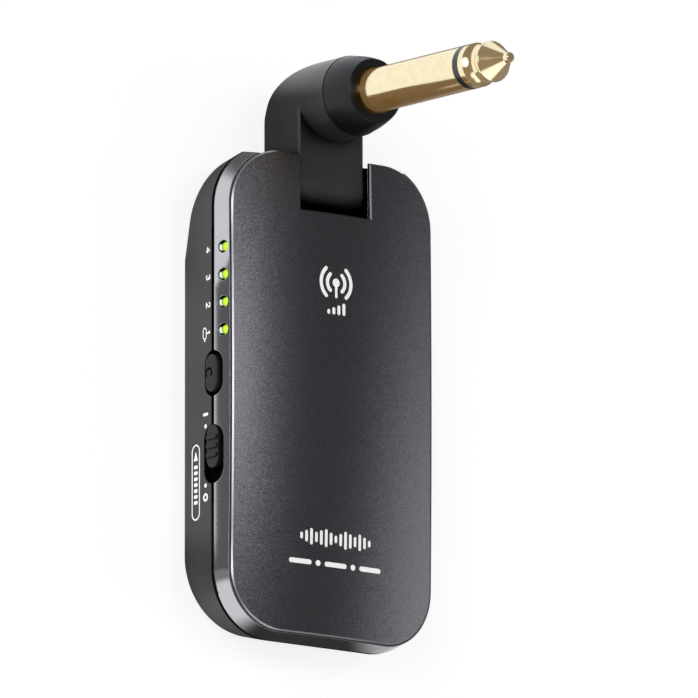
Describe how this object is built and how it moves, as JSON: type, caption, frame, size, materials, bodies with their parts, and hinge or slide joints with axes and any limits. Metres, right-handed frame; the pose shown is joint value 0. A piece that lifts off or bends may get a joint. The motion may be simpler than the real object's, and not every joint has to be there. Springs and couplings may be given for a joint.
{
  "type": "wireless guitar transmitter",
  "caption": "Flat rounded transmitter with a crowned front plate and a quarter-inch jack plug on a fold-out hinged arm, side lamps, push button and power slider.",
  "frame": {"origin": "centre of the body's outline on the flat rear resting face", "axes": "+Z is the front face's normal and the plug's direction with the arm swung out; +Y runs along the body towards the plug's end; +X is to the right of someone facing the front"},
  "size_m": [0.0375, 0.0838, 0.0533],
  "materials": {
    "front_plate": "fine sparkle grain, satin",
    "bezel": "satin",
    "rear_shell": "matte",
    "screw_steel": "black zinc",
    "arm_plastic": "matte",
    "cap_plastic": "satin",
    "gold_plating": "polished gold plating",
    "black_nylon": "smooth",
    "tinned_brass": "tinned",
    "axle_steel": "ground",
    "bush_bronze": "sintered bronze",
    "spring_steel": "phosphated",
    "washer_nylon": "black nylon",
    "red_wire": "silicone",
    "lamp_green": "clear tinted",
    "lamp_chip": "moulded",
    "button_rubber": "satin",
    "switch_black": "moulded",
    "switch_white": "moulded",
    "board_green": "solder mask",
    "port_steel": "nickel",
    "pouch_foil": "laminated foil",
    "foam": "foam",
    "connector_white": "nylon",
    "chip_black": "moulded epoxy",
    "can_steel": "tinned",
    "passive_mix": "fired"
  },
  "bodies": {
    "body": {"front_plate": "front_plate", "bezel_frame": "bezel", "rear_shell": "rear_shell", "shell_screws": "screw_steel", "hinge_bushes": "bush_bronze", "body_wires": "red_wire", "light_guides": "lamp_green", "lamps": "lamp_chip", "tact_switch": "switch_black", "slide_switch": "port_steel", "main_board": "board_green", "port_shell": "port_steel", "port_tongue": "switch_black", "battery": "pouch_foil", "battery_pad": "foam", "battery_connector": "connector_white", "battery_leads": "red_wire", "shield_can": "can_steel", "radio_chip": "chip_black", "crystal": "can_steel", "audio_chip": "chip_black", "charge_chip": "chip_black", "passives": "passive_mix", "antenna": "tinned_brass"},
    "arm": {"plug_arm": "arm_plastic", "plug_cap": "cap_plastic", "plug_sleeve": "gold_plating", "plug_insulator": "black_nylon", "plug_tip": "gold_plating", "tip_lug": "tinned_brass", "sleeve_lug": "tinned_brass", "hinge_axle": "axle_steel", "axle_clips": "spring_steel", "friction_washers": "washer_nylon", "arm_wires": "red_wire"},
    "button": {"pairing_button": "button_rubber", "tact_plunger": "switch_white"},
    "slider": {"power_slider": "button_rubber", "switch_lever": "switch_black"}
  },
  "joints": [
    {"name": "arm_hinge", "type": "hinge", "parent": "body", "child": "arm", "pos_m": [0, 0.0315, 0.00762], "axis": [1, 0, 0], "range_deg": [-90, 90]},
    {"name": "button_press", "type": "slide", "parent": "body", "child": "button", "axis": [1, 0, 0], "range_m": [0, 0.0004], "stiffness_N_per_m": 40},
    {"name": "power_slide", "type": "slide", "parent": "body", "child": "slider", "axis": [0, -1, 0], "range_m": [0, 0.0022]}
  ]
}
